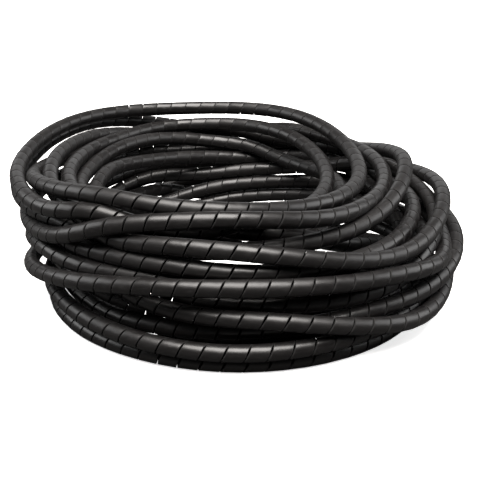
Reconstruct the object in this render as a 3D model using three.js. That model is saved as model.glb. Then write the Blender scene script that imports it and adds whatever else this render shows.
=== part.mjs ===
// A loose coil of spiral cable wrap, lying flat on its lowest turns.
// Millimetres, +Z up. The origin is the middle of the coil on the surface it lies on.
// The pile of turns is one turned ring with a bore. Every turn on its skin is a round
// ridge of the strand's own diameter, on the outer wall, the top, the bore and the underside.

import * as THREE from 'three';

// The strand
const STRAND_DIAMETER = 8;

// Outer diameters of the pile, over the turns, from the floor up
const FOOT_DIAMETER = 226;
const BELLY_DIAMETER = 252;
const CROWN_DIAMETER = 228;

// Clear diameters inside the pile, between the turns, from the top down
const MOUTH_DIAMETER = 180;
const THROAT_DIAMETER = 154;
const FOOT_BORE_DIAMETER = 162;

// Heights above the floor
const COIL_HEIGHT = 82;
const BELLY_LOW_TURN_HEIGHT = 14;
const BELLY_HIGH_TURN_HEIGHT = 54;
const THROAT_TURN_HEIGHT = 28;

// Fineness of the faceted ring
const RING_SEGMENTS = 40;
const FACET_TURN = THREE.MathUtils.degToRad(40);

// Finish of the wrap
const WRAP_COLOUR = 0x151516;
const WRAP_ROUGHNESS = 0.42;

const STRAND_RADIUS = STRAND_DIAMETER / 2;

// The centre of a turn that touches a diameter from inside, or from outside
function turnInside(diameter, height) {
  return new THREE.Vector2(diameter / 2 - STRAND_RADIUS, height);
}

function turnOutside(diameter, height) {
  return new THREE.Vector2(diameter / 2 + STRAND_RADIUS, height);
}

// Corner turns of the pile's section, up the outer wall, over the top and down the bore
function cornerTurns() {
  const floorHeight = STRAND_RADIUS;
  const topHeight = COIL_HEIGHT - STRAND_RADIUS;
  return [
    turnInside(FOOT_DIAMETER, floorHeight),
    turnInside(BELLY_DIAMETER, BELLY_LOW_TURN_HEIGHT),
    turnInside(BELLY_DIAMETER, BELLY_HIGH_TURN_HEIGHT),
    turnInside(CROWN_DIAMETER, topHeight),
    turnOutside(MOUTH_DIAMETER, topHeight),
    turnOutside(THROAT_DIAMETER, THROAT_TURN_HEIGHT),
    turnOutside(FOOT_BORE_DIAMETER, floorHeight),
  ];
}

// All the turns on the section's skin: as many as fit side by side between two corners
function skinTurns() {
  const corners = cornerTurns();
  const turns = [];
  corners.forEach((corner, index) => {
    const next = corners[(index + 1) % corners.length];
    const count = Math.max(1, Math.floor(corner.distanceTo(next) / STRAND_DIAMETER));
    for (let step = 0; step < count; step += 1) {
      turns.push(corner.clone().lerp(next, step / count));
    }
  });
  return turns;
}

// Direction that faces out of the section between two neighbouring turns
function outwardAngle(from, to) {
  return to.clone().sub(from).angle() - Math.PI / 2;
}

// The way round from one direction to another, counted anticlockwise
function turnBetween(start, end) {
  const fullTurn = 2 * Math.PI;
  return (((end - start) % fullTurn) + fullTurn) % fullTurn;
}

// Directions of the flat facets that stand for one turn's round, each one tangent to it
function facetAngles(angleIn, angleOut) {
  const cornerTurn = turnBetween(angleIn, angleOut);
  const isStraight = cornerTurn < 0.001 || cornerTurn > Math.PI;
  const angles = [angleIn - FACET_TURN];
  if (isStraight) {
    angles.push(angleIn, angleIn + FACET_TURN);
    return angles;
  }
  const steps = Math.ceil(cornerTurn / FACET_TURN);
  for (let step = 0; step <= steps; step += 1) {
    angles.push(angleIn + (cornerTurn * step) / steps);
  }
  angles.push(angleIn + cornerTurn + FACET_TURN);
  return angles;
}

// A corner of the faceted round, where the tangents at two directions meet
function tangentCorner(centre, angleA, angleB) {
  const middle = (angleA + angleB) / 2;
  const reach = STRAND_RADIUS / Math.cos((angleB - angleA) / 2);
  return new THREE.Vector2(
    centre.x + reach * Math.cos(middle),
    centre.y + reach * Math.sin(middle),
  );
}

function turnOutline(centre, angleIn, angleOut) {
  const angles = facetAngles(angleIn, angleOut);
  const first = angles[0];
  const last = angles[angles.length - 1];
  const points = [tangentCorner(centre, first - FACET_TURN, first)];
  for (let index = 1; index < angles.length; index += 1) {
    points.push(tangentCorner(centre, angles[index - 1], angles[index]));
  }
  points.push(tangentCorner(centre, last, last + FACET_TURN));
  return points;
}

// The closed outline that is turned round the coil's axis
function coilSection() {
  const turns = skinTurns();
  const outline = [];
  turns.forEach((centre, index) => {
    const before = turns[(index + turns.length - 1) % turns.length];
    const after = turns[(index + 1) % turns.length];
    outline.push(...turnOutline(centre, outwardAngle(before, centre), outwardAngle(centre, after)));
  });
  outline.push(outline[0].clone());
  return outline;
}

function wrapMaterial() {
  return new THREE.MeshStandardMaterial({
    color: WRAP_COLOUR,
    roughness: WRAP_ROUGHNESS,
    metalness: 0,
  });
}

// The pile of turns, turned round Y and then stood with its axis along Z
function spiralWrapCoil() {
  const ring = new THREE.LatheGeometry(coilSection(), RING_SEGMENTS);
  const coil = new THREE.Mesh(ring, wrapMaterial());
  coil.name = 'spiral_wrap_coil';
  coil.rotation.x = Math.PI / 2;
  return coil;
}

const model = new THREE.Group();
model.add(spiralWrapCoil());

export default model;
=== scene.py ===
# A loose coil of black spiral cable wrap, lying flat on its lowest turns.
# Metres, +Z up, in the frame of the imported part: the coil's axis is Z and it lies on Z = 0.
# The strand is one narrow band wound into a tube. The band is made straight first, and then
# laid along the route of the coil's turns.

import math

import bmesh
import bpy
import numpy as np
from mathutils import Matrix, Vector


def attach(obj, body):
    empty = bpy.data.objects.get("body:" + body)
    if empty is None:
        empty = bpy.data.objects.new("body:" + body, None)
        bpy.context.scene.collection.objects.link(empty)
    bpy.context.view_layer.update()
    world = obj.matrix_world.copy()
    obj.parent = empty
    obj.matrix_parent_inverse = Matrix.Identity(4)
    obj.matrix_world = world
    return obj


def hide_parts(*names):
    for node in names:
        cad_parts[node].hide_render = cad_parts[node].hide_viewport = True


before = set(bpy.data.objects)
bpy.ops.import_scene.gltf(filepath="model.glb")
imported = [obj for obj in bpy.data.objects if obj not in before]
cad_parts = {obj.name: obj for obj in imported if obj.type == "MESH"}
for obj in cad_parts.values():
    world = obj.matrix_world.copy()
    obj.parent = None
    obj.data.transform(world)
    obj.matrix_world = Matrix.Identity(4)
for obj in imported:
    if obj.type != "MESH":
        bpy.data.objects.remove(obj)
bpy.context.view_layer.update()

MM = 0.001

# The strand: a band cut along a left-handed helix. CLOSED_CUT is about what a tight bend leaves
# of the cut on its inside.
STRAND_DIAMETER = 8.0 * MM
STRAND_RADIUS = STRAND_DIAMETER / 2
BAND_THICKNESS = 1.0 * MM
BAND_PITCH = 9.6 * MM
CUT_WIDTH = 0.48 * MM
CLOSED_CUT = 0.12 * MM
BAND_HALF_WIDTH = (BAND_PITCH - CUT_WIDTH) / 2
CUT_EDGE_BEVEL = 0.15 * MM
STEPS_PER_BAND_TURN = 15
MERGE_DISTANCE = 0.01 * MM
SHARP_ANGLE = 30.0

# The route, in degrees from the front of the first turn: where the strand starts and ends, and
# how far apart a turn's reaches and heights are given. The front is 90 degrees back from +X.
ROUTE_START = -20.0
ROUTE_END = 6090.0
REACH_STEP = 90.0
HEIGHT_STEP = 45.0
FRONT_FROM_X = -90.0
POINTS_PER_TURN = 96

# Settling: the least room between two turns, and how turns are pushed apart. Points of the route
# that are at most OWN_NEIGHBOURS points apart don't push each other.
TURN_CLEARANCE = 0.35 * MM
SETTLING_ROUNDS = 120
SETTLING_REACH = 14
SETTLING_PUSH = 1.7
OWN_NEIGHBOURS = 24
NEVER_ZERO = 1e-12

# Camera of the photograph
CAMERA_PLACE = (0.0, -0.4944, 0.1844)
CAMERA_TILT_DOWN = 18.0
CAMERA_LENS = 71.6
SENSOR_WIDTH = 36.0
NEAREST_SEEN = 0.01
FURTHEST_SEEN = 20.0


# Every turn of the coil, in the order in which the strand runs. It starts inside the pile, goes
# round on the floor, climbs and moves inwards, and ends on the floor inside the bore. In
# millimetres: how far a turn reaches from the coil's axis to the front, right, back and left, and
# the height of the strand's middle at the front and at every 45 degrees from there, by way of the
# right.
COIL_TURNS = [
    ((98, 90, 108, 100), (9, 11.5, 28, 48, 45, 41, 30, 26.3)),
    ((101, 101, 107, 98.3), (20, 20, 19, 24, 31, 22, 5.5, 4)),
    ((114, 95, 108, 99.8), (4, 4, 4, 4, 4, 5.5, 13, 13.5)),
    ((118.5, 103, 102.5, 94.5), (10.8, 13.8, 13, 13, 12, 14.5, 21, 13.6)),
    ((105.5, 113, 94.5, 80), (17.5, 21.5, 34.5, 41, 48, 53, 53, 27)),
    ((116, 108.5, 109, 83), (24.5, 13.5, 22.5, 24, 21.5, 27, 35, 32)),
    ((106.5, 103, 91, 108.6), (28.5, 32, 48, 46, 39.2, 27, 21.5, 33.2)),
    ((117, 105, 89.5, 108), (40, 36, 35, 41.7, 33.5, 21, 33, 42)),
    ((106.5, 97.5, 89.5, 101), (39, 35, 32, 30.5, 24, 27, 40, 48.5)),
    ((109, 91, 114.5, 99.5), (43.2, 43, 48, 45, 51, 66, 67, 56)),
    ((112, 105.5, 112, 112), (54.5, 42.5, 52, 49.5, 53, 51, 46.5, 50.5)),
    ((102.5, 77, 118, 118.3), (65.5, 58.6, 61, 62, 59.5, 72.5, 60.5, 55)),
    ((93, 88, 113, 108.5), (49.5, 53, 67, 55, 61, 58, 61, 68.5)),
    ((94.5, 63, 108, 117), (68.5, 63, 65.7, 77, 76.8, 75.8, 66.5, 58.5)),
    ((91, 46.5, 100, 90), (55.5, 56, 60, 68, 68, 66, 62.5, 57.5)),
    ((86, 54.5, 96, 83.5), (52.5, 44.5, 50.5, 48.5, 56.3, 63, 56, 52)),
    ((78, 76, 80, 86), (53.5, 39, 22, 8, 4, 4, 4, 4)),
]


# Camera

def make_camera():
    camera_data = bpy.data.cameras.new("photo_camera")
    camera_data.lens = CAMERA_LENS
    camera_data.sensor_width = SENSOR_WIDTH
    camera_data.clip_start = NEAREST_SEEN
    camera_data.clip_end = FURTHEST_SEEN
    camera = bpy.data.objects.new("photo_camera", camera_data)
    camera.location = CAMERA_PLACE
    camera.rotation_euler = (math.radians(90.0 - CAMERA_TILT_DOWN), 0.0, 0.0)
    bpy.context.collection.objects.link(camera)
    bpy.context.scene.camera = camera


make_camera()


# The coil's route

def reach_along(knots, values, at):
    """Monotone cubic through the values, which never swings out past them."""
    steps = np.diff(knots)
    slopes = np.diff(values) / steps
    tangents = np.zeros(len(knots))
    same_way = slopes[:-1] * slopes[1:] > 0
    inner = np.nonzero(same_way)[0] + 1
    weight_a = 2 * steps[inner] + steps[inner - 1]
    weight_b = steps[inner] + 2 * steps[inner - 1]
    tangents[inner] = (weight_a + weight_b) / (weight_a / slopes[inner - 1] + weight_b / slopes[inner])
    at = np.clip(at, knots[0], knots[-1])
    span = np.clip(np.searchsorted(knots, at) - 1, 0, len(knots) - 2)
    width = steps[span]
    t = (at - knots[span]) / width
    start = (2 * t**3 - 3 * t**2 + 1) * values[span] + (t**3 - 2 * t**2 + t) * width * tangents[span]
    end = (3 * t**2 - 2 * t**3) * values[span + 1] + (t**3 - t**2) * width * tangents[span + 1]
    return start + end


def height_along(knots, values, at):
    """Natural cubic spline through the values."""
    count = len(knots)
    steps = np.diff(knots)
    slopes = np.diff(values) / steps
    system = np.eye(count)
    right_side = np.zeros(count)
    for i in range(1, count - 1):
        system[i, i - 1:i + 2] = (steps[i - 1], 2 * (steps[i - 1] + steps[i]), steps[i])
        right_side[i] = 6 * (slopes[i] - slopes[i - 1])
    bends = np.linalg.solve(system, right_side)
    span = np.clip(np.searchsorted(knots, at) - 1, 0, count - 2)
    width = steps[span]
    before = knots[span + 1] - at
    after = at - knots[span]
    curve = (bends[span] * before**3 + bends[span + 1] * after**3) / (6 * width)
    from_start = (values[span] / width - bends[span] * width / 6) * before
    from_end = (values[span + 1] / width - bends[span + 1] * width / 6) * after
    return curve + from_start + from_end


def drawn_route():
    """The middle of the strand, turn after turn, before its turns are pushed apart."""
    turn_count = len(COIL_TURNS)
    point_count = round(POINTS_PER_TURN * (ROUTE_END - ROUTE_START) / 360) + 1
    angle = np.linspace(ROUTE_START, ROUTE_END, point_count)
    reaches = np.array([turn[0] for turn in COIL_TURNS]) * MM
    heights = np.array([turn[1] for turn in COIL_TURNS]).ravel() * MM
    turn_starts = 360.0 * np.arange(turn_count)
    front, right, back, left = [
        reach_along(turn_starts + REACH_STEP * side, reaches[:, side], angle) for side in range(4)
    ]
    around = np.radians(angle + FRONT_FROM_X)
    x = (right - left) / 2 + (right + left) / 2 * np.cos(around)
    y = (back - front) / 2 + (back + front) / 2 * np.sin(around)
    height_knots = HEIGHT_STEP * np.arange(len(heights) + 1)
    z = height_along(height_knots, np.append(heights, heights[-1]), angle)
    return np.stack([x, y, np.maximum(z, STRAND_RADIUS)], axis=1)


def softened(moves, passes):
    """Spreads each point's move along the strand, because a strand can't kink."""
    for _ in range(passes):
        shared = moves.copy()
        shared[1:-1] = 0.25 * moves[:-2] + 0.5 * moves[1:-1] + 0.25 * moves[2:]
        shared[0] = 0.5 * (moves[0] + moves[1])
        shared[-1] = 0.5 * (moves[-1] + moves[-2])
        moves = shared
    return moves


def settled_route(points):
    """Pushes turns that would pass through each other apart, above the floor."""
    room = STRAND_DIAMETER + TURN_CLEARANCE
    order = np.arange(len(points))
    other_turn = np.abs(order[:, None] - order[None, :]) > OWN_NEIGHBOURS
    for _ in range(SETTLING_ROUNDS):
        squares = (points**2).sum(axis=1)
        distance_squared = squares[:, None] + squares[None, :] - 2 * points @ points.T
        too_near = (distance_squared < room**2) & other_turn
        if not too_near.any():
            break
        first, second = np.nonzero(too_near)
        apart = points[first] - points[second]
        distance = np.sqrt((apart**2).sum(axis=1)) + NEVER_ZERO
        push = apart * ((room - distance) / (2 * distance))[:, None]
        moves = np.zeros_like(points)
        hits = np.zeros(len(points))
        np.add.at(moves, first, push)
        np.add.at(hits, first, 1)
        moves /= np.maximum(hits, 1)[:, None]
        points = points + SETTLING_PUSH * softened(moves, SETTLING_REACH)
        points[:, 2] = np.maximum(points[:, 2], STRAND_RADIUS)
    return points


def length_along(points):
    steps = np.linalg.norm(np.diff(points, axis=0), axis=1)
    return np.concatenate([[0.0], np.cumsum(steps)])


route = settled_route(drawn_route())
route_stations = length_along(route)
strand_length = float(route_stations[-1])


# The straight band

def straight_band(band_turns):
    """The band before it is laid: its section of six corners, spun round and along Z, and repeated."""
    inner_radius = STRAND_RADIUS - BAND_THICKNESS
    shoulder = STRAND_RADIUS - CUT_EDGE_BEVEL
    section = [
        (inner_radius, -BAND_HALF_WIDTH),
        (shoulder, -BAND_HALF_WIDTH),
        (STRAND_RADIUS, -BAND_HALF_WIDTH + CUT_EDGE_BEVEL),
        (STRAND_RADIUS, BAND_HALF_WIDTH - CUT_EDGE_BEVEL),
        (shoulder, BAND_HALF_WIDTH),
        (inner_radius, BAND_HALF_WIDTH),
    ]
    band = bmesh.new()
    corners = [band.verts.new((radius, 0.0, along)) for radius, along in section]
    edges = [band.edges.new((corners[i], corners[i - 1])) for i in range(len(corners))]
    bmesh.ops.spin(
        band,
        geom=corners + edges,
        cent=(0.0, 0.0, 0.0),
        axis=(0.0, 0.0, -1.0),
        dvec=(0.0, 0.0, BAND_PITCH / STEPS_PER_BAND_TURN),
        angle=2 * math.pi,
        steps=STEPS_PER_BAND_TURN,
        use_merge=False,
        use_duplicate=False,
    )
    mesh = bpy.data.meshes.new("one_band_turn")
    band.to_mesh(mesh)
    band.free()
    piece = bpy.data.objects.new("one_band_turn", mesh)
    bpy.context.collection.objects.link(piece)
    repeat = piece.modifiers.new("band_turns", "ARRAY")
    repeat.fit_type = "FIXED_COUNT"
    repeat.count = band_turns
    repeat.use_relative_offset = False
    repeat.use_constant_offset = True
    repeat.constant_offset_displace = (0.0, 0.0, BAND_PITCH)
    repeat.use_merge_vertices = True
    repeat.merge_threshold = MERGE_DISTANCE
    depsgraph = bpy.context.evaluated_depsgraph_get()
    wound = bpy.data.meshes.new_from_object(piece.evaluated_get(depsgraph))
    bpy.data.objects.remove(piece)
    bpy.data.meshes.remove(mesh)
    return wound


def close_ends(mesh):
    """Closes the strand's two cut ends, turns its faces outwards and keeps its corners sharp."""
    band = bmesh.new()
    band.from_mesh(mesh)
    open_edges = [edge for edge in band.edges if edge.is_boundary]
    bmesh.ops.holes_fill(band, edges=open_edges, sides=0)
    bmesh.ops.recalc_face_normals(band, faces=band.faces[:])
    for face in band.faces:
        face.smooth = True
    for edge in band.edges:
        if edge.calc_face_angle(0.0) > math.radians(SHARP_ANGLE):
            edge.smooth = False
    band.to_mesh(mesh)
    band.free()


# Laying the band along the route

def carried_frames(points):
    """At each point of the route: the way ahead and two directions across it that never twist."""
    ahead = np.gradient(points, axis=0)
    ahead /= np.linalg.norm(ahead, axis=1)[:, None]
    side = np.zeros_like(points)
    across = np.cross(ahead[0], (0.0, 0.0, 1.0))
    side[0] = across / np.linalg.norm(across)
    for i in range(1, len(points)):
        across = side[i - 1] - ahead[i] * np.dot(side[i - 1], ahead[i])
        side[i] = across / np.linalg.norm(across)
    return ahead, side, np.cross(ahead, side)


def sampled(stations, values, at):
    return np.stack([np.interp(at, stations, values[:, axis]) for axis in range(3)], axis=1)


def unit(vectors):
    return vectors / np.linalg.norm(vectors, axis=1)[:, None]


def lay_band(mesh, points):
    """Moves the straight band's corners onto the route, and keeps where each one was."""
    stations = length_along(points)
    ahead, side, up = carried_frames(points)
    bending = np.gradient(ahead, stations, axis=0)
    straight = np.empty(len(mesh.vertices) * 3)
    mesh.vertices.foreach_get("co", straight)
    straight = straight.reshape(-1, 3)
    straight[:, 2] -= straight[:, 2].min()
    wound = np.arctan2(straight[:, 1], straight[:, 0]) / (2 * math.pi)
    helix_place = (straight[:, 2] - BAND_HALF_WIDTH) / BAND_PITCH + wound
    across_band = (helix_place - np.round(helix_place)) * BAND_PITCH
    middle = straight[:, 2] - across_band
    turns_wound = middle / BAND_PITCH
    middle *= stations[-1] / (middle.max() + BAND_HALF_WIDTH)
    way = unit(sampled(stations, ahead, middle))
    to_side = unit(sampled(stations, side, middle))
    to_up = unit(sampled(stations, up, middle))
    offset = to_side * straight[:, :1] + to_up * straight[:, 1:2]
    stretch = 1.0 - (offset * sampled(stations, bending, middle)).sum(axis=1)
    room = stretch * BAND_PITCH / (BAND_PITCH - CUT_WIDTH + CLOSED_CUT)
    across = across_band * np.minimum(room, 1.0)
    laid = sampled(stations, points, middle) + offset + way * across[:, None]
    mesh.vertices.foreach_set("co", laid.ravel())
    as_extruded = mesh.attributes.new("as_extruded", "FLOAT_VECTOR", "POINT")
    as_extruded.data.foreach_set("vector", straight.ravel())
    on_band = mesh.attributes.new("on_band", "FLOAT_VECTOR", "POINT")
    radius = np.hypot(straight[:, 0], straight[:, 1])
    band_place = [turns_wound, across_band / BAND_HALF_WIDTH, radius / STRAND_RADIUS]
    on_band.data.foreach_set("vector", np.stack(band_place, axis=1).ravel())
    mesh.update()


def make_strand():
    band_turns = math.floor(strand_length / BAND_PITCH)
    mesh = straight_band(band_turns)
    mesh.name = "spiral_strand"
    close_ends(mesh)
    lay_band(mesh, route)
    strand = bpy.data.objects.new("spiral_strand", mesh)
    bpy.context.collection.objects.link(strand)
    return strand


strand = make_strand()
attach(strand, "root")
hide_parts("spiral_wrap_coil")


# Shader helpers

def add_node(tree, kind, **settings):
    node = tree.nodes.new(kind)
    for name, value in settings.items():
        setattr(node, name, value)
    return node


def maths(tree, operation, first, second=None, third=None):
    node = add_node(tree, "ShaderNodeMath", operation=operation)
    for socket, value in zip(node.inputs, (first, second, third)):
        if value is None:
            continue
        if isinstance(value, (int, float)):
            socket.default_value = value
        else:
            tree.links.new(value, socket)
    return node.outputs[0]


def attribute(tree, name):
    return add_node(tree, "ShaderNodeAttribute", attribute_name=name).outputs["Vector"]


def noise(tree, place, waves_per_metre, detail, roughness):
    mapping = add_node(tree, "ShaderNodeMapping")
    mapping.inputs["Scale"].default_value = waves_per_metre
    tree.links.new(place, mapping.inputs["Vector"])
    node = add_node(tree, "ShaderNodeTexNoise")
    node.inputs["Scale"].default_value = 1.0
    node.inputs["Detail"].default_value = detail
    node.inputs["Roughness"].default_value = roughness
    tree.links.new(mapping.outputs[0], node.inputs["Vector"])
    return node.outputs["Fac"]


def spread(tree, value, taken, given=(0.0, 1.0)):
    """Eases from one given number to the other while the value rises through the taken range."""
    node = add_node(tree, "ShaderNodeMapRange", interpolation_type="SMOOTHSTEP")
    for socket, number in zip(list(node.inputs)[1:5], taken + given):
        socket.default_value = number
    tree.links.new(value, node.inputs[0])
    return node.outputs[0]


def mixed(tree, mask, first, second):
    node = add_node(tree, "ShaderNodeMix", data_type="RGBA")
    tree.links.new(mask, node.inputs["Factor"])
    for socket, colour in ((node.inputs["A"], first), (node.inputs["B"], second)):
        if isinstance(colour, tuple):
            socket.default_value = colour
        else:
            tree.links.new(colour, socket)
    return node.outputs["Result"]


# The wrap's finish: satin black polyethylene
FRESH_SKIN = (0.0058, 0.0052, 0.0052, 1.0)
RUBBED_SKIN = (0.013, 0.012, 0.012, 1.0)
CUT_FACE = (0.010, 0.009, 0.009, 1.0)
# The inside of the tube is painted darker than the skin: painted shade
TUBE_INSIDE_PAINTED_SHADE = (0.004, 0.004, 0.004, 1.0)
POLYETHYLENE_IOR = 1.51

# Where the cut's edge begins, in half widths of the band from its middle, and where the outer
# skin begins, in radii of the strand
CUT_EDGE = (0.92, 0.97)
OUTER_SKIN = (0.955, 0.985)

# Noise waves per metre, twice across the straight strand and once along it
DIE_LINES = (2200.0, 2200.0, 30.0)
WALL_WAVES = (160.0, 160.0, 90.0)
SCUFFS = (700.0, 700.0, 260.0)
HANDLING = (60.0, 60.0, 14.0)
TONE_WAVES_PER_BAND_TURN = 0.9

# The values of a noise over which an effect goes from least to most
MOST_OF_NOISE = (0.3, 0.7)
RUBBED_NOISE = (0.45, 0.8)
WORN_EDGE_NOISE = (0.42, 0.62)
SCUFFED_NOISE = (0.5, 0.85)

# How worn the cut's edges are, then the skin's roughness, and what a turn's tone and the scuffs
# add to it, each from least to most
EDGE_WEAR = (0.2, 1.0)
SKIN_ROUGHNESS = (0.31, 0.43)
TONE_ROUGHNESS = (-0.03, 0.05)
SCUFF_ROUGHNESS = (0.0, 0.14)

# How high the relief stands, and how far the band falls away from its middle to its edges
DIE_LINE_HEIGHT = 0.012 * MM
WALL_WAVE_HEIGHT = 0.10 * MM
SCUFF_HEIGHT = 0.02 * MM
CROWN_FALL = 0.12 * MM
CROWN_POWER = 4.0


def wrap_material():
    material = bpy.data.materials.new("black_satin_polyethylene")
    material.use_nodes = True
    tree = material.node_tree
    shader = tree.nodes["Principled BSDF"]
    links = tree.links

    place = attribute(tree, "as_extruded")
    band = add_node(tree, "ShaderNodeSeparateXYZ")
    links.new(attribute(tree, "on_band"), band.inputs[0])
    turns_wound = band.outputs[0]
    from_middle = maths(tree, "ABSOLUTE", band.outputs[1])
    from_axis = band.outputs[2]

    # Fine lines that the die drew along the tube, soft waves in its wall, scuffs and handling
    die_lines = noise(tree, place, DIE_LINES, detail=3.0, roughness=0.6)
    wall_waves = noise(tree, place, WALL_WAVES, detail=2.0, roughness=0.5)
    scuffs = noise(tree, place, SCUFFS, detail=5.0, roughness=0.65)
    handling = noise(tree, place, HANDLING, detail=2.0, roughness=0.5)

    # Each wound turn of the band catches the light a little differently
    turn_tone = add_node(tree, "ShaderNodeTexNoise", noise_dimensions="1D")
    turn_tone.inputs["Scale"].default_value = TONE_WAVES_PER_BAND_TURN
    turn_tone.inputs["Detail"].default_value = 1.0
    links.new(turns_wound, turn_tone.inputs["W"])

    # The cut's edges, matt where the knife passed, and the inside of the tube, painted darker as
    # painted shade
    cut_edge = spread(tree, from_middle, CUT_EDGE)
    outer_skin = spread(tree, from_axis, OUTER_SKIN)
    edge_wear = maths(tree, "MULTIPLY", cut_edge, spread(tree, scuffs, WORN_EDGE_NOISE, EDGE_WEAR))

    skin_colour = mixed(tree, spread(tree, scuffs, RUBBED_NOISE), FRESH_SKIN, RUBBED_SKIN)
    worn_colour = mixed(tree, edge_wear, skin_colour, CUT_FACE)
    links.new(mixed(tree, outer_skin, TUBE_INSIDE_PAINTED_SHADE, worn_colour), shader.inputs["Base Color"])

    gloss = spread(tree, handling, MOST_OF_NOISE, SKIN_ROUGHNESS)
    tone = spread(tree, turn_tone.outputs["Fac"], MOST_OF_NOISE, TONE_ROUGHNESS)
    scuffed = spread(tree, scuffs, SCUFFED_NOISE, SCUFF_ROUGHNESS)
    rough_skin = maths(tree, "ADD", maths(tree, "ADD", gloss, tone), scuffed)
    matt_cut = maths(tree, "MAXIMUM", cut_edge, maths(tree, "SUBTRACT", 1.0, outer_skin))
    links.new(maths(tree, "MAXIMUM", rough_skin, matt_cut), shader.inputs["Roughness"])

    crown = maths(tree, "MULTIPLY", maths(tree, "POWER", from_middle, CROWN_POWER), -CROWN_FALL)
    relief = maths(tree, "MULTIPLY_ADD", wall_waves, WALL_WAVE_HEIGHT, crown)
    relief = maths(tree, "MULTIPLY_ADD", die_lines, DIE_LINE_HEIGHT, relief)
    relief = maths(tree, "MULTIPLY_ADD", scuffs, SCUFF_HEIGHT, relief)
    bump = add_node(tree, "ShaderNodeBump")
    bump.inputs["Strength"].default_value = 1.0
    bump.inputs["Distance"].default_value = 1.0
    links.new(relief, bump.inputs["Height"])
    links.new(bump.outputs[0], shader.inputs["Normal"])

    shader.inputs["IOR"].default_value = POLYETHYLENE_IOR
    return material


strand.data.materials.append(wrap_material())


# Floor, backdrop and studio light

FLOOR_SIZE = 6.0
PAPER_SEEN = (0.93, 0.93, 0.93, 1.0)
PAPER_BOUNCE = (0.05, 0.05, 0.05, 1.0)
PAPER_GLOW = 0.75
PAPER_ROUGHNESS = 0.9
UNLIT = (0.0, 0.0, 0.0, 1.0)
ROOM_LIGHT = (0.03, 0.03, 0.03, 1.0)
BACKDROP_SEEN = (1.0, 1.0, 1.0, 1.0)
WARM_WHITE = (1.0, 0.96, 0.925)
COIL_MIDDLE = (0.0, 0.0, 0.04)


def floor_material():
    """White paper to the camera, which throws little light back under the coil."""
    material = bpy.data.materials.new("white_paper")
    material.use_nodes = True
    tree = material.node_tree
    shader = tree.nodes["Principled BSDF"]
    seen = add_node(tree, "ShaderNodeLightPath").outputs["Is Camera Ray"]
    tree.links.new(mixed(tree, seen, PAPER_BOUNCE, PAPER_SEEN), shader.inputs["Base Color"])
    shader.inputs["Roughness"].default_value = PAPER_ROUGHNESS
    shader.inputs["Specular IOR Level"].default_value = 0.0
    tree.links.new(mixed(tree, seen, UNLIT, PAPER_SEEN), shader.inputs["Emission Color"])
    shader.inputs["Emission Strength"].default_value = PAPER_GLOW
    return material


def make_floor():
    floor = bmesh.new()
    bmesh.ops.create_grid(floor, x_segments=1, y_segments=1, size=FLOOR_SIZE / 2)
    mesh = bpy.data.meshes.new("studio_floor")
    floor.to_mesh(mesh)
    floor.free()
    mesh.materials.append(floor_material())
    piece = bpy.data.objects.new("studio_floor", mesh)
    bpy.context.collection.objects.link(piece)


def aimed(light, place):
    piece = bpy.data.objects.new(light.name, light)
    piece.location = place
    direction = Vector(COIL_MIDDLE) - Vector(place)
    piece.rotation_euler = direction.to_track_quat("-Z", "Y").to_euler()
    bpy.context.collection.objects.link(piece)


def overhead_light(place, strength, spread_degrees):
    """Lights the whole coil equally from above, and is wide, so that its shadows are soft."""
    light = bpy.data.lights.new("overhead_light", "SUN")
    light.color = WARM_WHITE
    light.energy = strength
    light.angle = math.radians(spread_degrees)
    aimed(light, place)


def softbox(name, place, width, depth, power):
    light = bpy.data.lights.new(name, "AREA")
    light.shape = "RECTANGLE"
    light.size = width
    light.size_y = depth
    light.energy = power
    aimed(light, place)


def studio_world():
    """White behind the floor to the camera, and almost no light from all round."""
    world = bpy.data.worlds.new("white_studio")
    world.use_nodes = True
    tree = world.node_tree
    seen = add_node(tree, "ShaderNodeLightPath").outputs["Is Camera Ray"]
    colour = mixed(tree, seen, ROOM_LIGHT, BACKDROP_SEEN)
    tree.links.new(colour, tree.nodes["Background"].inputs["Color"])
    bpy.context.scene.world = world


make_floor()
studio_world()
overhead_light(place=(0.0, -0.32, 1.0), strength=9.5, spread_degrees=52.0)
softbox("left_panel", place=(-0.9, 0.1, 0.45), width=0.8, depth=0.6, power=4.4)
softbox("right_panel", place=(0.9, 0.1, 0.45), width=0.8, depth=0.6, power=4.4)
softbox("back_panel", place=(0.0, 1.3, 0.5), width=2.0, depth=0.6, power=3.0)

bpy.context.scene.view_settings.view_transform = "Standard"
